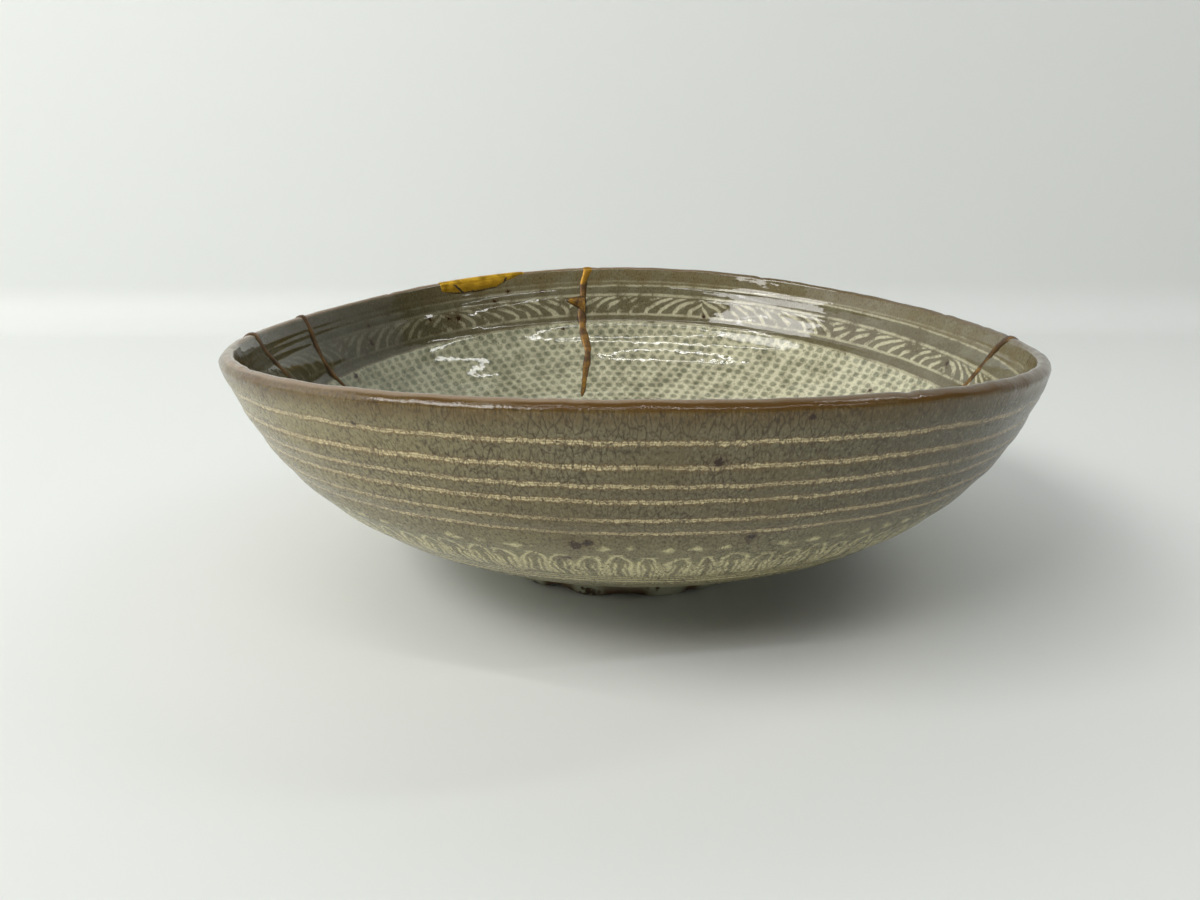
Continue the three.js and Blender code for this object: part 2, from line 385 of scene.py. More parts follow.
# %% Move the points
under_foot = along < section_run[len(foot) - 1] + 1
chipped = np.zeros(len(points))
for place, width, depth in FOOT_CHIPS:
    rough = 1 + 0.5 * grain
    outer_edge = bump_at(radius - FOOT_RADIUS, 3.6)
    chipped += depth * bump_at(arc(bearing, place, FOOT_RADIUS), width) * outer_edge * rough
chipped *= 1 - smooth_step(height, 2, 5)
lifted_radius, lifted_height = on_section(along, np.where(under_foot, 0, lift))
lifted_radius = np.where(radius < 0.01, 0, lifted_radius)
lifted_height = np.maximum(lifted_height + chipped, 0)
write_points(bowl, warped(lifted_radius, lifted_height, bearing))
write_attribute(bowl, "along", along)
write_attribute(bowl, "clay", np.clip(chipped * 2, 0, 1))
start_piece("smooth shading of the bowl")
bowl.select_set(True)
bpy.context.view_layer.objects.active = bowl
bpy.ops.object.shade_smooth_by_angle(angle=math.radians(40))
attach(bowl, "root")
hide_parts("bowl_body")

# %% [markdown]
# ## The gold seams
# A crack is closed with lacquer, which dries into a low bead; then gold powder is dusted over it.
# Each seam is a flat grid, as wide as the bead and as long as the crack, laid on the warped wall:
# its columns go across the crack and its rows go from the inside, over the lip, to the outside.
# The middle of the grid stands proud and its edges sink into the glaze, so the bead looks poured.
# A Solidify modifier closes it to a solid. The routes are those of the solids.

# %% Routes of the cracks
# Each route is a list of (drop under the rim, sideways towards the next bearing, width).
SEAMS = {
    "seam_back": (99, [(0, -0.7, 3.8), (3, 0.6, 2.6), (8, 1.3, 2.4), (14, 2, 3.0), (19, 1.9, 3.0),
                       (24, 0.9, 2.8), (28, 1.6, 2.4), (33, 3.2, 1.8), (37, 4.5, 1.3)]),
    "seam_left": (168.9, [(0, 0, 2.6), (3, -0.3, 2.4), (6, 0.1, 2.2), (11, 0, 2.0), (15, -1, 1.8),
                          (24, -5, 1.2)]),
    "seam_front_left": (187.6, [(0, 0, 3.0), (2.5, -0.2, 2.6), (4, -1, 2.6), (7, -3.4, 2.4),
                                (10.5, -5.7, 2.0), (16, -9.4, 1.3)]),
    "seam_right": (0.5, [(0, -4, 4.2), (1.6, -1.7, 3.8), (3.7, 0.1, 2.6), (6, 1.2, 2.2),
                         (9, 1.8, 2.2), (12.5, 3.2, 2.0), (19, 6.6, 1.2)]),
}
# How much gold is left on a seam: near the rim, deep inside, and how far down the first part goes.
GILT_LEFT = {"seam_back": (0.85, 0.32, 5), "seam_left": (0.15, 0.0, 4), "seam_front_left": (0.2, 0.0, 4),
             "seam_right": (0.3, 0.3, 6)}
SPLINTER_REACH = (1.4, 7.2)      # across, at the crack and at the tip
SPLINTER_TOP = (8.2, 9.2)        # the drop of its upper edge, at the crack and at the tip
SPLINTER_LOW = (14, 11.6, 9.4)   # the drop of its lower edge, with a third place on the way
SPLINTER_GILT = 0.45
SEAM_PROUD = 0.35
SEAM_SUNK = 0.25
SEAM_THICKNESS = 0.5


def along_at_drop(drop, bearing, side):
    """The distance along the section of a point that lies so far under the rim's top.

    side is 1 for the inside of the wall and -1 for the outside."""
    part = section_run * side > 0
    part &= section[:, 1] > FOOT_HEIGHT
    run = section_run[part]
    wall = warped(section[part, 0], section[part, 1], bearing)
    order = np.argsort(wall[:, 2])
    level = RIM_HEIGHT + waves(HEIGHT_WAVES, bearing) - drop
    return np.interp(level, wall[order, 2], run[order])


def route_along(bearing, route):
    """A route's stations from its inner end over the lip to its outer end: along, across, width."""
    rows = []
    for drop, across, width in reversed(route):
        rows.append((along_at_drop(max(drop, 0.3), bearing, 1), across, width))
    for drop, across, width in route:
        rows.append((along_at_drop(max(drop, 0.3), bearing, -1), across, width))
    return np.array(rows)


# %% Lay a grid on the wall
def grid_piece(name, columns, rows):
    """A grid of one unit that is shaped later: its points and their places, 0 to 1 each way."""
    start_piece(name)
    bpy.ops.mesh.primitive_grid_add(x_subdivisions=columns, y_subdivisions=rows, size=1)
    piece = name_piece(name)
    flat = read_points(piece) * mm
    return piece, flat[:, 0] + 0.5, flat[:, 1] + 0.5


def lay_on_wall(piece, along, bearing, across, lift):
    """Puts a grid's points on the warped wall; across is in millimetres from the bearing."""
    r, h = on_section(along, lift)
    turn = bearing + np.arcsin(np.clip(across / r, -1, 1))
    write_points(piece, warped(r, h, turn))


def close_piece(piece, thickness):
    """Gives a sheet its thickness, inwards, and shades it smooth."""
    bpy.ops.object.mode_set(mode="EDIT")
    bpy.ops.mesh.select_all(action="SELECT")
    bpy.ops.mesh.remove_doubles(threshold=0.005 * mm)
    bpy.ops.mesh.normals_make_consistent(inside=False)
    bpy.ops.object.mode_set(mode="OBJECT")
    solid = piece.modifiers.new("thickness", "SOLIDIFY")
    solid.thickness = thickness * mm
    solid.offset = -1
    bpy.ops.object.modifier_apply(modifier=solid.name)
    bpy.ops.object.shade_smooth_by_angle(angle=math.radians(50))


def bead(across_share, proud, sunk):
    """The height of a poured bead over the wall: proud in its middle, sunk at its edges."""
    return (proud + sunk) * np.sqrt(np.clip(1 - across_share ** 2, 0, 1)) - sunk


def wobble(along, seed, size):
    """A hand's unsteadiness along a line, between about -1 and 1."""
    return np.array([noise.noise(Vector((a / size, seed, 0.5))) for a in along])


def make_seam(name, bearing_degrees, route):
    """One mended crack, inside and outside."""
    bearing = math.radians(bearing_degrees)
    stations = route_along(bearing, route)
    length = stations[0, 0] - stations[-1, 0]
    piece, column, row = grid_piece(name, 10, int(length / 0.6))
    along = stations[0, 0] - row * length
    order = np.argsort(stations[:, 0])
    across = np.interp(along, stations[order, 0], stations[order, 1])
    width = np.interp(along, stations[order, 0], stations[order, 2])
    seed = bearing_degrees
    across = across + 0.3 * wobble(along, seed, 6)
    left = width / 2 * (1 + 0.25 * wobble(along, seed + 20, 3.5))
    right = width / 2 * (1 + 0.25 * wobble(along, seed + 40, 3.5))
    side = column * 2 - 1
    tip = np.clip(np.minimum(row, 1 - row) * length / 1.5, 0, 1) ** 0.5
    offset = across + np.where(side > 0, left, right) * side * tip
    lift = bead(side, SEAM_PROUD * (1 + 0.3 * wobble(along, seed + 60, 3)), SEAM_SUNK)
    lay_on_wall(piece, along, bearing, offset, lift)
    near, deep, reach = GILT_LEFT[name]
    write_attribute(piece, "edge", np.abs(side))
    depth_share = smooth_step(np.abs(along), reach * 0.7, reach * 1.3)
    write_attribute(piece, "gilt", near + (deep - near) * depth_share)
    return piece


seams = {}
for name, (bearing_degrees, route) in SEAMS.items():
    seams[name] = make_seam(name, bearing_degrees, route)
    close_piece(seams[name], SEAM_THICKNESS)

# %% [markdown]
# The back crack lost a small three-cornered splinter beside it, and the lacquer fills that too. It
# is a second, smaller grid whose columns run from the crack out to the splinter's tip. It is joined
# to the seam, because the two were poured as one.

# %% The splinter beside the back seam
back_bearing = math.radians(SEAMS["seam_back"][0])
splinter, column, row = grid_piece("splinter", 12, 10)
side = column ** 0.8
crack_end, tip_end = SPLINTER_REACH
reach = side * (tip_end - crack_end) + crack_end - 0.6
top_drop = np.interp(side, [0, 1], SPLINTER_TOP)
low_drop = np.interp(side, [0, 0.35, 1], SPLINTER_LOW)
drop = top_drop + (low_drop - top_drop) * row
splinter_along = along_at_drop(drop, back_bearing, 1)
edge = np.maximum(np.abs(row * 2 - 1), np.maximum(side * 2 - 1, 0))
lay_on_wall(splinter, splinter_along, back_bearing, reach, bead(edge, SEAM_PROUD * 0.8, SEAM_SUNK))
write_attribute(splinter, "edge", edge)
write_attribute(splinter, "gilt", np.full(len(edge), SPLINTER_GILT))
close_piece(splinter, SEAM_THICKNESS)
start_piece("join of the splinter")
splinter.select_set(True)
seams["seam_back"].select_set(True)
bpy.context.view_layer.objects.active = seams["seam_back"]
bpy.ops.object.join()
for name, seam in seams.items():
    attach(seam, "root")
    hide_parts(name)
    seam.name = name + "_bead"
    print(seam.name, len(seam.data.polygons), "faces")

# %% [markdown]
# ## The gold fill in the rim
# A flake as long as a finger joint broke out of the rim at the back left, and the gap was built up
# again and gilded. It is one more grid: its columns run round the rim, and its rows run from the
# flake's lower edge inside, over the lip, to its lower edge outside.

# %% Rim fill
FLAKE_BEARING = 122
FLAKE_EDGE = [(14.2, 0.5), (13.6, 2.6), (9, 3.4), (0, 3.6), (-5, 3.2), (-9, 1.9), (-12.5, 0.6),
              (-15, 0.1)]
FILL_PROUD = 0.3
flake_bearing = math.radians(FLAKE_BEARING)
fill, column, row = grid_piece("rim_fill_gold", 60, 24)
edge_line = np.array(FLAKE_EDGE[::-1])
across = edge_line[0, 0] + column * (edge_line[-1, 0] - edge_line[0, 0])
depth = np.interp(across, edge_line[:, 0], edge_line[:, 1]) + 0.25 * wobble(across, 3, 3)
depth = np.maximum(depth, 0.35)
inner_end = along_at_drop(depth, flake_bearing, 1)
outer_end = along_at_drop(depth * 0.85, flake_bearing, -1)
fill_along = inner_end + (outer_end - inner_end) * row
edge = np.maximum(np.abs(row * 2 - 1), np.abs(column * 2 - 1) ** 6)
pillow = 0.06 * np.array([noise.noise(Vector((a / 4, b / 3, 2))) for a, b in zip(across, fill_along)])
fill_lift = bead(edge ** 3, FILL_PROUD, SEAM_SUNK) + pillow
lay_on_wall(fill, fill_along, flake_bearing, across, fill_lift)
write_attribute(fill, "edge", edge)
write_attribute(fill, "across", across)
write_attribute(fill, "down", fill_along)
close_piece(fill, SEAM_THICKNESS)
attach(fill, "root")
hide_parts("rim_fill")
print("rim fill:", len(fill.data.polygons), "faces")


# %% [markdown]
# ## Writing materials as sums
# A glaze is easier to read as maths than as a picture of nodes. `Wire` wraps one output socket, so
# that `1 - mask` or `a * b` adds the Math node itself. `Finish` holds one material: `node` adds any
# other node, `blend` mixes colours, and the small methods after it are the marks that a brush, a
# stamp or a flaw leaves.

# %% Wire and Finish
class Wire:
    """One output socket, ready for arithmetic."""

    def __init__(self, finish, socket):
        self.finish = finish
        self.socket = socket

    def __add__(self, other):
        return self.finish.maths("ADD", self, other)

    def __sub__(self, other):
        return self.finish.maths("SUBTRACT", self, other)

    def __mul__(self, other):
        return self.finish.maths("MULTIPLY", self, other)

    def __truediv__(self, other):
        return self.finish.maths("DIVIDE", self, other)

    def __radd__(self, other):
        return self.finish.maths("ADD", other, self)

    def __rsub__(self, other):
        return self.finish.maths("SUBTRACT", other, self)

    def __rmul__(self, other):
        return self.finish.maths("MULTIPLY", other, self)

    def __pow__(self, other):
        return self.finish.maths("POWER", self, other)

    def __abs__(self):
        return self.finish.maths("ABSOLUTE", self)


class Finish:
    """A material that is built from sums of wires."""

    def __init__(self, name):
        self.material = bpy.data.materials.new(name)
        self.material.use_nodes = True
        self.tree = self.material.node_tree
        self.shader = self.tree.nodes["Principled BSDF"]
        self.place = self.node("ShaderNodeTexCoord", output="Object")

    def feed(self, socket, value):
        """Links a wire to a socket, or sets a plain value on it."""
        if isinstance(value, Wire):
            self.tree.links.new(value.socket, socket)
        else:
            socket.default_value = value

    def node(self, kind, inputs=None, output=0, **settings):
        """Adds a node: its settings first, then its sockets. Returns one of its outputs."""
        node = self.tree.nodes.new(kind)
        for name, value in settings.items():
            setattr(node, name, value)
        for socket, value in (inputs or {}).items():
            self.feed(node.inputs[socket], value)
        return Wire(self, node.outputs[output])

    def maths(self, operation, first, second=None):
        """A Math node; its answer is one number."""
        inputs = {0: first} if second is None else {0: first, 1: second}
        return self.node("ShaderNodeMath", inputs, operation=operation)

    def pick(self, operation, values):
        """The smallest ("MINIMUM") or the largest ("MAXIMUM") of several wires."""
        best = values[0]
        for value in values[1:]:
            best = self.maths(operation, best, value)
        return best

    def blend(self, share, under, over):
        """Mixes two colours: share 0 shows the one under, 1 the one over."""
        return self.node("ShaderNodeMix", {0: share, 6: rgba(under), 7: rgba(over)}, output=2,
                         data_type="RGBA")

    def slope(self, value, low, high):
        """0 at low, 1 at high, soft between them; high may be under low."""
        inputs = {"Value": value, "From Min": low, "From Max": high}
        return self.node("ShaderNodeMapRange", inputs, interpolation_type="SMOOTHSTEP")

    def speckle(self, size, detail=2.0, stretch=(1, 1, 1), shift=0.0, rough=0.5):
        """Noise between 0 and 1 whose lumps are about size millimetres wide."""
        scale = Vector(stretch) / (size * mm)
        moved = self.node("ShaderNodeMapping", {"Vector": self.place, "Location": (shift, shift, shift),
                                                "Scale": scale})
        return self.node("ShaderNodeTexNoise", {"Vector": moved, "Scale": 1.0, "Detail": detail,
                                                "Roughness": rough}, output="Fac")

    def cracks(self, size, stretch=(1, 1, 1)):
        """The distance to the nearest crack of a net whose meshes are about size millimetres wide."""
        moved = self.node("ShaderNodeMapping", {"Vector": self.place,
                                                "Scale": Vector(stretch) / (size * mm)})
        return self.node("ShaderNodeTexVoronoi", {"Vector": moved, "Scale": 1.0, "Randomness": 1.0},
                         output="Distance", feature="DISTANCE_TO_EDGE")

    def bump(self, height, distance):
        """Bumps whose height of 1 stands for a distance in millimetres."""
        return self.node("ShaderNodeBump", {"Height": height, "Distance": distance * mm, "Strength": 1.0})

    def attribute(self, name):
        """A number that was kept for each point of the mesh."""
        return self.node("ShaderNodeAttribute", output="Fac", attribute_name=name)

    def surface(self, shader, colour, roughness, normal, metallic=0.0):
        """Sets what a shader shows."""
        inputs = {"Base Color": colour, "Roughness": roughness, "Normal": normal, "Metallic": metallic}
        for name, value in inputs.items():
            self.feed(shader.inputs[name], value)


def rgba(colour):
    """A colour of three numbers with a fourth; a wire stays as it is."""
    if isinstance(colour, Wire):
        return colour
    return (*colour, 1.0)


# %% [markdown]
# ## The celadon glaze
# Most colours come from what lies under the glaze. Bare clay is olive grey; white slip shows cream
# through it; near the lip the glaze runs thin and the clay burns brown. A few colours are painted
# light and shade: the outside is lighter on the left and low down and darker on the right, and the
# inside is darker and duller on the left. All patterns are measured with `along`, down the wall,
# and with the bearing, round it, so they follow the warped rim.
#
# First come the grounds: the clay tone with its cloudiness, and the noises that the marks share.
# Nearly every line uses three of the glaze's methods, so these get short names of their own.

# %% Glaze: places and grounds
INSIDE_CLAY = (0.135, 0.118, 0.066)
RIM_ZONE = (0.165, 0.132, 0.066)
OUTSIDE_CLAY = (0.150, 0.122, 0.058)
OUTSIDE_GREY = (0.172, 0.150, 0.082)
# Painted light: a lighter outside colour for the left, where the windows light the wall.
OUTSIDE_LEFT_PAINTED_LIGHT = (0.330, 0.285, 0.145)
# Painted shade: a darker outside colour for the right, away from the windows.
OUTSIDE_RIGHT_PAINTED_SHADE = (0.058, 0.055, 0.028)
# Painted shade: a dark colour for the upper inside wall on the left, which faces away from the windows.
INSIDE_LEFT_PAINTED_SHADE = (0.038, 0.034, 0.013)
# Painted light: a lighter colour for the lower outside wall, which faces the bright floor.
BELLY_PAINTED_LIGHT = (0.225, 0.200, 0.096)
UNDER_LIP = (0.115, 0.070, 0.020)
LIP_WORN = (0.260, 0.180, 0.110)
LIP_RIGHT = (0.110, 0.070, 0.034)
LIP_EDGE = (0.100, 0.052, 0.014)
SLIP = (0.63, 0.61, 0.43)
DOT = (0.165, 0.172, 0.110)
LEAF = (0.56, 0.53, 0.36)
CREAM = (0.82, 0.70, 0.40)
CREAM_LOW = (0.74, 0.67, 0.37)
BROWN_EDGE = (0.150, 0.075, 0.024)
INSIDE_CLOUD = (0.215, 0.205, 0.135)
# Painted shade: a dull green-grey for the dot field on the shaded left.
FIELD_PAINTED_SHADE = (0.200, 0.225, 0.155)
GRAIN_DARK = (0.055, 0.038, 0.016)
GRAIN_LIGHT = (0.420, 0.380, 0.240)
SPOT = (0.030, 0.012, 0.004)
SPOT_STAIN = (0.090, 0.050, 0.020)
CRACK_STAIN = (0.048, 0.028, 0.012)
HAIRLINE_STAIN = (0.050, 0.035, 0.018)
FOOT_GLAZE = (0.420, 0.420, 0.300)
BARE_FOOT = (0.060, 0.034, 0.016)
BARED_CLAY = (0.100, 0.056, 0.026)

glaze = Finish("glazed_stoneware")
slope = glaze.slope
blend = glaze.blend
maths = glaze.maths
east = glaze.node("ShaderNodeSeparateXYZ", {0: glaze.place}, output="X")
north = Wire(glaze, east.socket.node.outputs["Y"])
run = glaze.attribute("along")
clay_bared = glaze.attribute("clay")
turn = maths("ARCTAN2", north, east)
clouds = glaze.speckle(14, detail=2)
blots = glaze.speckle(5, detail=2, shift=3)
grains = glaze.speckle(0.8, detail=2, shift=5, rough=0.65)
dust = glaze.speckle(0.36, detail=1, stretch=(1, 1, 0.4), shift=9)
waver = glaze.speckle(6, detail=2, shift=11) - 0.5
is_inside = slope(run, -0.4, 0.4)
ragged = (grains - 0.5) * 2.2 + (dust - 0.5) * 1.4
# Painted light and shade: 0 on the left, 1 on the right; inside the left is shaded, outside it is lit.
painted_light_ramp = slope(east / mm + waver * 30, -75, 20)
sideways = east / mm + waver * 12

# %% [markdown]
# ## Inside: the rings
# The rings of slip lie in the grooves of the mesh, so they use the same table of places and sways.

# %% Rings of slip
def swayed(table):
    """What `waves` gives for a table, worked out in the glaze."""
    return sum(maths("COSINE", (turn - math.radians(at)) * count) * crest for count, crest, at in table)


def off_ring(name):
    """How far a point lies below a ring, in millimetres; negative above it."""
    place, width, sway = RINGS[name]
    return run + waver * 0.5 - place - swayed(sway)


ring_gaps = {name: off_ring(name) for name in RINGS}
rings = slope(abs(ring_gaps["faint"]) + ragged * 0.6, 0.45, 0.0) * 0.4
for name in ["upper", "leaf top", "leaf foot", "field top", "well", "centre"]:
    half = RINGS[name][1] / 2
    mark = slope(abs(ring_gaps[name]) + ragged * 0.4, half + 0.25, half - 0.25)
    rings = maths("MAXIMUM", rings, mark)
# The last factor is painted shade: the rings of slip fade on the shaded left.
rings = rings * slope(blots + grains * 0.4, 0.45, 0.72) * (0.35 + painted_light_ramp * 0.65)

# %% [markdown]
# ## Inside: the stamped dots
# The field of dots was pressed with a small stamp, row under row. The rows are 2.05 mm apart and the
# dots 3.2 mm, so a lower, shorter ring holds fewer of them. The number in a ring is worked out from
# the ring's length and rounded, and every second row is moved by half a step.

# %% Dots
ROW_PITCH = 2.05
DOT_PITCH = 3.2
FIRST_ROW = 1.3            # mm below the ring over the field
ROW_START = RINGS["field top"][0] + FIRST_ROW
inside_run = section_run[section_run > ROW_START - 3]
inside_radius = section[section_run > ROW_START - 3, 0]
ring_fit = np.polyfit(inside_run, inside_radius, 3)
print("ring radius by distance:", ring_fit)

below_field_top = ring_gaps["field top"]
row_number = maths("ROUND", (below_field_top - FIRST_ROW) / ROW_PITCH)
row_run = row_number * ROW_PITCH + ROW_START
row_radius = ((row_run * ring_fit[0] + ring_fit[1]) * row_run + ring_fit[2]) * row_run + ring_fit[3]
dots_in_ring = maths("ROUND", row_radius * (2 * math.pi / DOT_PITCH))
stagger = maths("PINGPONG", row_number * 0.5, 0.5)
column_place = (turn - math.radians(95)) / (2 * math.pi) * dots_in_ring + stagger
column_number = maths("ROUND", column_place)
dot_seed = glaze.node("ShaderNodeCombineXYZ", {0: row_number, 1: column_number})
chance = glaze.node("ShaderNodeTexWhiteNoise", {"Vector": dot_seed}, output="Color",
                    noise_dimensions="3D")
chance_x = glaze.node("ShaderNodeSeparateColor", {0: chance}, output="Red")
chance_y = Wire(glaze, chance_x.socket.node.outputs["Green"])
chance_size = Wire(glaze, chance_x.socket.node.outputs["Blue"])
dot_x = (column_place - column_number) * DOT_PITCH + (chance_x - 0.5) * 0.55 + waver * 0.6
dot_y = below_field_top - FIRST_ROW - row_number * ROW_PITCH + (chance_y - 0.5) * 0.45
dot_distance = maths("SQRT", dot_x * dot_x + dot_y * dot_y * 1.35)
dot_size = 0.80 + chance_size * 0.24 + ragged * 0.22
dots = slope(dot_distance - dot_size, 0.45, -0.40)
field_ends = slope(ring_gaps["well"], -1.6, -2.4)
field = slope(below_field_top + ragged * 0.4, 0.1, 0.6) * field_ends

# %% [markdown]
# ## Inside: the leaf strokes
# Between two rings a band of curved strokes runs round the wall. Each starts upright at the lower
# ring and sweeps sideways as it rises. They lean one way for a twelfth of the round, then the other.
# The brush was thick with slip, so the strokes are broad, ragged, and run together in places.

# %% Leaf strokes
LEAF_SWEEP = 7.5
LEAF_PITCH = 4.5
LEAF_RADIUS = 82.0
group_place = (turn - math.radians(43)) * (6 / math.pi)
group_number = maths("FLOOR", group_place)
lean = 1 - maths("PINGPONG", group_number, 1) * 2
inside_group = (group_place - group_number) * (math.pi / 6 * LEAF_RADIUS)
band_height = ring_gaps["leaf top"] - ring_gaps["leaf foot"]
rise = maths("MAXIMUM", ring_gaps["leaf foot"] * -1 / (band_height - 0.8), 0)
rise = maths("MINIMUM", rise, 1)
sweep = rise * rise * LEAF_SWEEP
stroke_place = (inside_group - lean * sweep + waver * 4.5) / LEAF_PITCH
stroke_side = abs(stroke_place - maths("ROUND", stroke_place)) * LEAF_PITCH
slant = rise * (2 * LEAF_SWEEP / 5.0)
stroke_half = maths("SQRT", slant * slant + 1) * 0.30 + 0.34
strokes = slope(stroke_side / stroke_half + ragged * 0.7, 1.35, 0.65)
leaf_band = slope(ring_gaps["leaf top"] + ragged * 0.5, 0.5, 1.0)
leaf_band = leaf_band * slope(ring_gaps["leaf foot"], 0.0, -0.4)
# The last factor is painted shade: the leaf strokes fade on the shaded left.
leaves = strokes * leaf_band * slope(blots + ragged * 0.1, 0.34, 0.56) * (0.6 + painted_light_ramp * 0.4)

# %% [markdown]
# ## Outside: combed lines and lotus petals
# Six combed lines run round the wall. The slip was wiped off unevenly, so each is a double row of
# cream grains with brown edges, broken in places. Under them stand a row of small star marks and a
# band of lotus petals, then three thin rings.

# %% Combed lines
outer_run = run + waver * 0.8 + swayed(OUTSIDE_SWAY)
line_gap = glaze.pick("MINIMUM", [abs(outer_run + place) for place in OUTSIDE_LINES])
# The gaps in the lines are wear; the ramp's share is painted light, with more cream on the lit left.
line_wear_and_light = slope(clouds + dust * 0.5 + grains * 0.5 + (1 - painted_light_ramp) * 0.12, 0.70, 1.00)
combed = slope(line_gap + ragged * 0.7, 0.52, 0.10) * (1 - slope(line_gap, 0.2, 0.0) * 0.6)
combed = combed * line_wear_and_light
brown_edge = slope(line_gap + ragged * 0.7, 0.95, 0.4) * line_wear_and_light

# %% Petals
PETALS = 96
PETAL_WIDTH = 4.7
PETAL_TOP = 33.0
petal_turn = turn * (PETALS / (2 * math.pi)) + waver * 0.8
petal_number = maths("ROUND", petal_turn)
petal_chance = glaze.node("ShaderNodeTexWhiteNoise", {"W": petal_number}, output="Value",
                          noise_dimensions="1D") - 0.5
petal_side = abs(petal_turn - petal_number) * PETAL_WIDTH
petal_down = 0 - run - PETAL_TOP + waver * 2 + petal_chance * 1.2
petal_bow = maths("MINIMUM", maths("MAXIMUM", petal_down / 3.2, 0), 1)
petal_open = maths("SQRT", 1 - (1 - petal_bow) ** 2) * (1.75 + petal_chance * 0.5)
petal_outline = slope(abs(petal_side - petal_open) + ragged * 0.5, 0.62, 0.10)
petal_rim = slope(abs(petal_down + 0.2) + ragged * 0.5, 0.6, 0.1) * slope(petal_side, 1.6, 1.0)
petal_heart = slope(abs(petal_side - petal_open * 0.45) + ragged * 0.5, 0.45, 0.05)
petal_heart = petal_heart * slope(petal_down, 2.0, 3.5)
between_petals = slope(petal_side + ragged * 0.6, 1.7, 2.3) * slope(petal_down, 1.0, 4.0)
petals = glaze.pick("MAXIMUM", [petal_outline, petal_rim, petal_heart, between_petals * 0.6])
petals = petals * slope(petal_down, -0.8, 0.2) * slope(petal_down, 10.0, 7.5)
petals = petals * slope(blots + grains * 0.8 + dust * 0.4, 0.78, 1.02)
star_side = PETAL_WIDTH / 2 - petal_side
star_down = abs(0 - run - 30.4 + waver * 2)
stars = slope(star_side * 0.6 + star_down + ragged * 0.9, 1.25, 0.4)
stars = stars * slope(blots, 0.40, 0.55)
low_run = run + waver * 0.6
low_gap = glaze.pick("MINIMUM", [abs(low_run + place) for place in LOWER_LINES])
low_lines = slope(low_gap + ragged * 0.5, 0.5, 0.15) * 0.8
low_marks = glaze.pick("MAXIMUM", [petals, stars * 0.9, low_lines])

# %% [markdown]
# ## Crackle, spots and wear
# The glaze has a fine net of cracks that tea has darkened; outside they run mostly up and down.
# Iron in the clay burnt through in dark spots, each in its own place. The lip is rubbed to a tan that
# turns browner on the right, with a dark line along its outer edge. One hairline on the right was
# never mended.

# %% Spots
# Each spot is (bearing, distance along the wall, half width), in degrees and millimetres.
SPOTS = [(128.7, 11.7, 1.2), (131.0, 11.2, 0.9), (135.6, 10.5, 0.9), (161.9, 20.5, 1.3), (152.5, 12.9, 1.0),
         (151.5, 8.0, 0.9), (119.6, 8.2, 0.8), (116.3, 5.9, 0.8), (108.8, 6.9, 0.7), (105.1, 18.8, 0.8),
         (12.3, 12.7, 0.9), (27.0, 27.9, 1.0), (72.3, 14.6, 0.8)]
OUTER_SPOTS = [(276.2, -10.9, 1.2), (281.6, -27.6, 1.2), (261.3, -29.4, 1.5), (262.8, -28.6, 1.1),
               (259.9, -34.1, 1.1), (323.8, -26.3, 1.0), (239.6, -6.7, 0.7), (284.6, -3.8, 0.7)]
pepper = dust * 0.75 + grains * 0.25


def nearest_spot(table):
    """The distance to the nearest spot, as a share of that spot's half width."""
    gaps = []
    for bearing_degrees, at, half in table:
        centre = warped(*on_section(at), math.radians(bearing_degrees)) * mm
        away = glaze.node("ShaderNodeVectorMath", {0: glaze.place, 1: tuple(centre)}, output="Value",
                          operation="DISTANCE")
        gaps.append(away / (half * mm))
    return glaze.pick("MINIMUM", gaps)


def spotted(colour, table):
    """The colour with the spots of a table, each in its own pale brown stain."""
    gap = nearest_spot(table) + ragged * 0.7
    colour = blend(slope(gap, 2.2, 0.6) * 0.35, colour, SPOT_STAIN)
    return blend(slope(gap, 0.95, 0.35) * 0.95, colour, SPOT)


def peppered(colour, strength):
    """The colour with the fine dark and light grain of a crackled glaze."""
    colour = blend(slope(pepper, 0.50, 0.32) * strength, colour, GRAIN_DARK)
    return blend(slope(pepper, 0.52, 0.70) * (strength * 0.24), colour, GRAIN_LIGHT)


# %% Crackle, lip and hairline
HAIRLINE_BEARING = -34.4
CRACKLE_MESH = 1.15        # mm across
crackle = slope(glaze.cracks(CRACKLE_MESH, stretch=(1, 1, 0.28)) + ragged * 0.02, 0.09, 0.01)
crackle = crackle * slope(clouds + waver * 0.5, 0.30, 0.60)
lip_top = slope(run + waver, -1.6, -0.9) * slope(run + waver + ragged * 0.3, 1.6, 0.6)
lip_line = slope(run + waver + ragged * 0.4, -2.8, -1.8) * slope(run + waver * 0.6, -0.7, -1.3)
under_lip = slope(run + waver * 3 + ragged * 1.5, -6.5, -2.0) * (1 - is_inside)
hairline_gap = abs(turn - math.radians(HAIRLINE_BEARING) + waver * 0.004) * RIM_RADIUS
hairline = slope(hairline_gap, 0.3, 0.05) * slope(run, -20, -15) * (1 - is_inside)
foot_part = slope(run + waver, -70.5, -71.5)

# %% Put the colours together
inner = blend(slope(ring_gaps["upper"], 0.6, -0.6), INSIDE_CLAY, RIM_ZONE)
inner = blend(slope(blots, 0.35, 0.75) * 0.5, inner, INSIDE_CLOUD)
inner = blend(leaves * 0.9, inner, LEAF)
slip_patchy = slope(blots + grains * 0.6, 0.55, 0.95)
inner = blend(field * (0.50 + slip_patchy * 0.50), inner, SLIP)
inner = blend(field * dots * (0.95 - slip_patchy * 0.3), inner, DOT)
# Painted shade: the dot field is dulled towards the left.
inner = blend(field * (1 - painted_light_ramp) * 0.35, inner, FIELD_PAINTED_SHADE)
inner = blend(rings * 0.75, inner, LEAF)
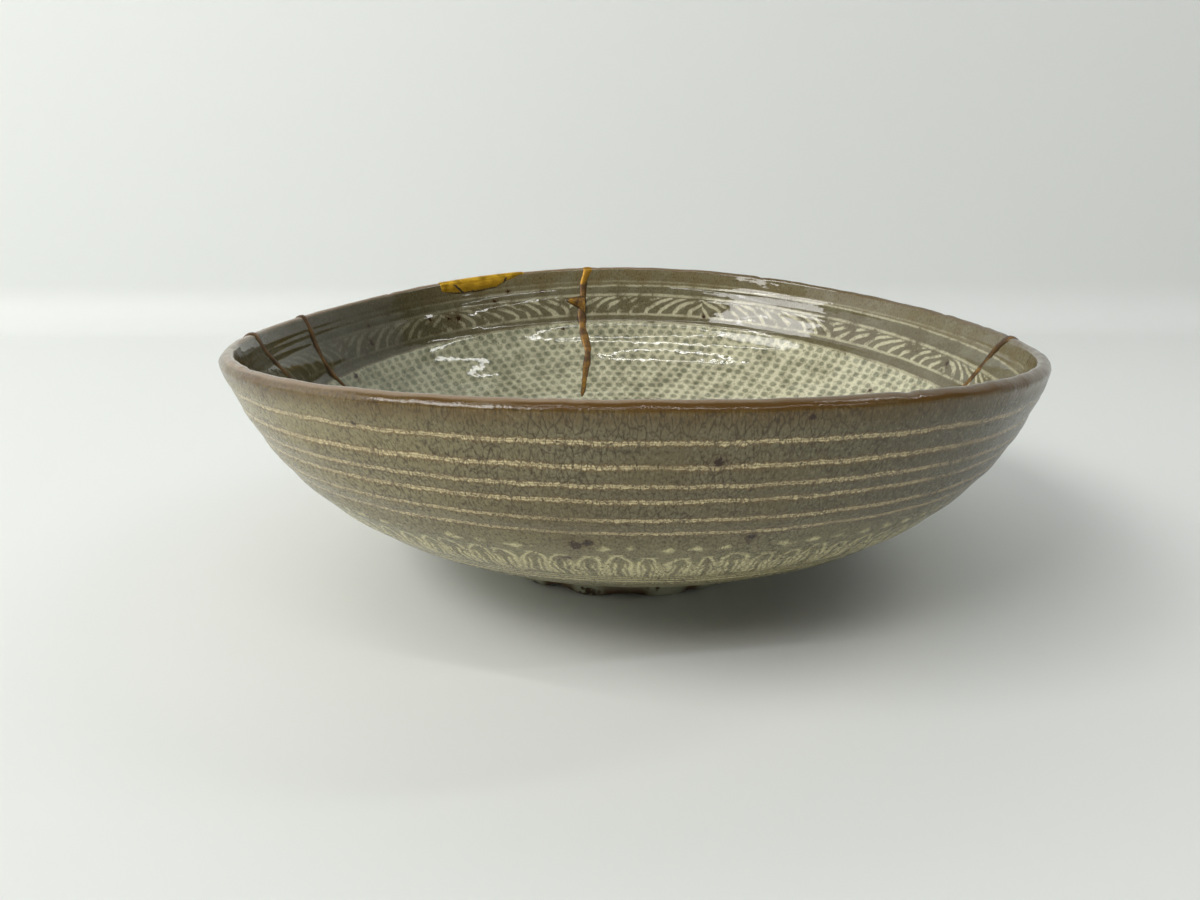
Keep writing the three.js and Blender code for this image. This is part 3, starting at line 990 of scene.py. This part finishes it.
# Painted shade: the upper inside wall is made darker on the left.
painted_left_shade = slope(sideways, -35, -78) * slope(below_field_top, 0.4, -0.4)
inner = blend(painted_left_shade * 0.65, inner, INSIDE_LEFT_PAINTED_SHADE)
outer = blend(slope(clouds, 0.3, 0.7), OUTSIDE_CLAY, OUTSIDE_GREY)
# Painted light: the outside is made lighter towards the left.
outer = blend(slope(sideways, 0, -80) * 0.85, outer, OUTSIDE_LEFT_PAINTED_LIGHT)
# Painted shade: the outside is made darker towards the right.
outer = blend(slope(sideways, 5, 65) * 0.75, outer, OUTSIDE_RIGHT_PAINTED_SHADE)
# Painted light: the outside is made lighter low down, towards the floor.
outer = blend(slope(run + waver * 6, -22, -36) * 0.8, outer, BELLY_PAINTED_LIGHT)
outer = blend(under_lip * 0.9, outer, UNDER_LIP)
outer = blend(brown_edge * 0.65, outer, BROWN_EDGE)
# Painted shade: the cream lines are made fainter towards the right.
outer = blend(combed * (0.9 - slope(east / mm, 15, 80) * 0.5), outer, CREAM)
# Painted shade: the petals, stars and low rings are made fainter towards the right.
outer = blend(low_marks * (0.85 - slope(east / mm, 0, 70) * 0.25), outer, CREAM_LOW)
outer = blend(crackle * 0.65, outer, CRACK_STAIN)
outer = blend(hairline * 0.6, outer, HAIRLINE_STAIN)
lip_tone = blend(slope(sideways, -25, 50), LIP_WORN, LIP_RIGHT)
inner = blend(lip_top * 0.8, peppered(inner, 0.5), lip_tone)
inner = spotted(inner, SPOTS)
outer = blend(lip_top * 0.8, peppered(outer, 0.75), lip_tone)
# The brown lip line is the lip's own colour in random patches; the ramp's share is painted shade on the
# right.
lip_patches_and_shade = slope(clouds + painted_light_ramp * 0.25 + ragged * 0.1, 0.40, 0.75)
outer = blend(lip_line * lip_patches_and_shade, outer, LIP_EDGE)
outer = spotted(outer, OUTER_SPOTS)
foot_colour = blend(slope(blots + grains * 0.4, 0.78, 0.90), FOOT_GLAZE, BARE_FOOT)
outer = blend(foot_part, outer, foot_colour)
outer = blend(clay_bared, outer, BARED_CLAY)

# %% Two shaders, one for each side
# The mix is 0 outside and 1 inside, so the renderer works out only the side that it needs.
GLAZE_IOR = 1.44
inside_shader = glaze.shader
outside_shader = glaze.node("ShaderNodeBsdfPrincipled").socket.node
outer_rough = 0.25 - slope(run, -5, -2) * 0.12 + grains * 0.04 + foot_part * 0.25 + clay_bared * 0.3
glaze.surface(inside_shader, inner, 0.03 + grains * 0.04, glaze.bump(blots * 0.9, 0.12))
glaze.surface(outside_shader, outer, outer_rough, glaze.bump(grains * 0.6 + blots * 1.9, 0.12))
for shader in (inside_shader, outside_shader):
    shader.inputs["IOR"].default_value = GLAZE_IOR
sides = glaze.node("ShaderNodeMixShader", {0: is_inside})
side_inputs = sides.socket.node.inputs
glaze.tree.links.new(outside_shader.outputs["BSDF"], side_inputs[1])
glaze.tree.links.new(inside_shader.outputs["BSDF"], side_inputs[2])
glaze.tree.links.new(sides.socket, glaze.tree.nodes["Material Output"].inputs["Surface"])
bowl.data.materials.append(glaze.material)
print("glaze:", len(glaze.tree.nodes), "nodes")

# %% [markdown]
# ## Gold
# The rim fill is young gold powder over lacquer: bright yellow, nearly smooth, with a thin dark line
# where the lacquer shows at its edge. The seams are older. Their gold has rubbed off, and the
# red-brown lacquer shows through, so they are only partly metal.

# %% Burnished gold and aged lacquer
GOLD_THIN = (0.42, 0.23, 0.010)
GOLD_BRIGHT = (0.76, 0.45, 0.03)
GOLD_DEEP = (0.34, 0.18, 0.008)
LACQUER_LINE = (0.022, 0.012, 0.005)
GOLD_CRACKS = [(10.6, 0.9), (-9.6, -0.6)]      # across, tilt
LACQUER_DARK = (0.080, 0.038, 0.008)
LACQUER_LIGHT = (0.175, 0.088, 0.018)
GILDING = (0.40, 0.21, 0.02)
SEAM_LINE = (0.018, 0.009, 0.004)

gold = Finish("burnished_gold")
edge = gold.attribute("edge")
patches = gold.speckle(3.0, detail=3)
grit = gold.speckle(0.5, detail=2, shift=4)
tone = gold.blend(gold.slope(patches, 0.35, 0.65), GOLD_THIN, GOLD_BRIGHT)
rim_dark = gold.slope(edge + (grit - 0.5) * 0.25 + (patches - 0.5) * 0.2, 0.80, 0.98)
across = gold.attribute("across")
down = gold.attribute("down")
tone = gold.blend(gold.slope(down + (patches - 0.5) * 2, 1.0, 3.2) * 0.55, tone, GOLD_DEEP)
for place, tilt in GOLD_CRACKS:
    tick = gold.slope(abs(across + down * tilt - place) + (grit - 0.5) * 0.8, 0.6, 0.25)
    rim_dark = gold.maths("MAXIMUM", rim_dark, tick * gold.slope(down, 1.2, 2.0))
tone = gold.blend(rim_dark, tone, LACQUER_LINE)
gold.surface(gold.shader, tone, 0.26 + patches * 0.16, gold.bump(patches + grit * 0.3, 0.10),
             (1 - rim_dark) * 0.75)
fill.data.materials.append(gold.material)

lacquer = Finish("aged_gold_lacquer")
edge = lacquer.attribute("edge")
gilt = lacquer.attribute("gilt")
patches = lacquer.speckle(2.5, detail=3)
grit = lacquer.speckle(0.4, detail=2, shift=4)
worn = lacquer.blend(lacquer.slope(patches, 0.35, 0.65), LACQUER_DARK, LACQUER_LIGHT)
gilded = lacquer.slope(gilt + (patches - 0.5) * 0.9 + (grit - 0.5) * 0.5, 0.30, 0.65)
worn = lacquer.blend(gilded * 0.9, worn, GILDING)
rim_dark = lacquer.slope(edge + (grit - 0.5) * 0.4, 0.62, 0.95)
worn = lacquer.blend(rim_dark * 0.85, worn, SEAM_LINE)
lacquer.surface(lacquer.shader, worn, 0.36 + grit * 0.15, lacquer.bump(patches + grit * 0.5, 0.10),
                (0.35 + gilded * 0.3) * (1 - rim_dark))
for seam in seams.values():
    seam.data.materials.append(lacquer.material)
print("gold:", len(gold.tree.nodes), "nodes, lacquer:", len(lacquer.tree.nodes), "nodes")

# %% [markdown]
# ## Floor and light
# The bowl stands on a plain pale floor that turns up all round, highest behind it. Two windows light
# it softly from the left and the front left. Three thin strips overhead draw the bright lines in the
# wet glaze inside. The directions are angles round the bowl, so each light is set by one short call.

# %% Floor
FLOOR_SIZE = 3.2           # metres, as the next three
FLOOR_BACK = 0.36
SIDES_HIGH = 0.42
BACK_HIGHER = 0.8
FLOOR_COLOUR = (0.75, 0.77, 0.75)
start_piece("floor")
bpy.ops.mesh.primitive_plane_add(size=FLOOR_SIZE, location=(0, FLOOR_BACK - FLOOR_SIZE / 2, 0))
floor = name_piece("floor")
bpy.ops.object.transform_apply(location=True)
bpy.ops.object.mode_set(mode="EDIT")
bpy.ops.transform.resize(value=(1, 0.65, 1), center_override=(0, FLOOR_BACK, 0))
bpy.ops.mesh.select_mode(type="EDGE")
bpy.ops.mesh.select_all(action="SELECT")
bpy.ops.mesh.extrude_edges_move(TRANSFORM_OT_translate={"value": (0, 0, SIDES_HIGH)})
bpy.ops.mesh.select_all(action="DESELECT")
bpy.ops.object.mode_set(mode="OBJECT")
for side in floor.data.edges:
    ends = [floor.data.vertices[i].co for i in side.vertices]
    at_back = min(end.y for end in ends) > FLOOR_BACK - 0.01
    side.select = at_back and min(end.z for end in ends) > SIDES_HIGH - 0.01
bpy.ops.object.mode_set(mode="EDIT")
bpy.ops.mesh.extrude_edges_move(TRANSFORM_OT_translate={"value": (0, 0, BACK_HIGHER)})
bpy.ops.object.mode_set(mode="OBJECT")
sweep_bevel = floor.modifiers.new("sweep", "BEVEL")
sweep_bevel.width = 0.03
sweep_bevel.segments = 12
bpy.ops.object.modifier_apply(modifier=sweep_bevel.name)
bpy.ops.object.shade_smooth_by_angle(angle=math.radians(40))
table = Finish("pale_floor")
table.shader.inputs["Base Color"].default_value = rgba(FLOOR_COLOUR)
table.shader.inputs["Roughness"].default_value = 0.6
floor.data.materials.append(table.material)


# %% Lights
DAYLIGHT = (1.0, 0.99, 0.97)
LIGHT_DISTANCE = 1.5
ROOM_COLOUR = (0.80, 0.83, 0.82)
ROOM_GLOW = 0.035


def soft_light(name, azimuth, elevation, width, height, power, colour=(1, 1, 1), lean=0):
    """A rectangular light that looks at the bowl; azimuth 0 is the camera's side, 90 is +X."""
    a = math.radians(azimuth)
    e = math.radians(elevation)
    target = Vector((0, 0, 35 * mm))
    back = Vector((math.sin(a) * math.cos(e), -math.cos(a) * math.cos(e), math.sin(e)))
    start_piece(name)
    bpy.ops.object.light_add(type="AREA", location=target + back * LIGHT_DISTANCE)
    light = bpy.context.object
    light.name = name
    facing = back.to_track_quat("Z", "Y").to_matrix() @ Matrix.Rotation(math.radians(lean), 3, "Z")
    light.rotation_euler = facing.to_euler()
    light.data.shape = "RECTANGLE"
    light.data.size = width
    light.data.size_y = height
    light.data.energy = power
    light.data.color = colour
    light.visible_camera = False


soft_light("left_window", -90, 28, 1.6, 0.9, 7.5, DAYLIGHT)
soft_light("front_window", -51, 42, 0.9, 0.45, 13.0, DAYLIGHT, lean=-18)
soft_light("front_strip", 10, 54, 3.0, 0.025, 5.5)
soft_light("top_strip", -20, 66, 1.6, 0.025, 3.2)
soft_light("right_strip", 98, 51, 0.08, 0.55, 1.7)
world = bpy.data.worlds.new("room")
bpy.context.scene.world = world
world.use_nodes = True
room = world.node_tree.nodes["Background"].inputs
room["Color"].default_value = rgba(ROOM_COLOUR)
room["Strength"].default_value = ROOM_GLOW
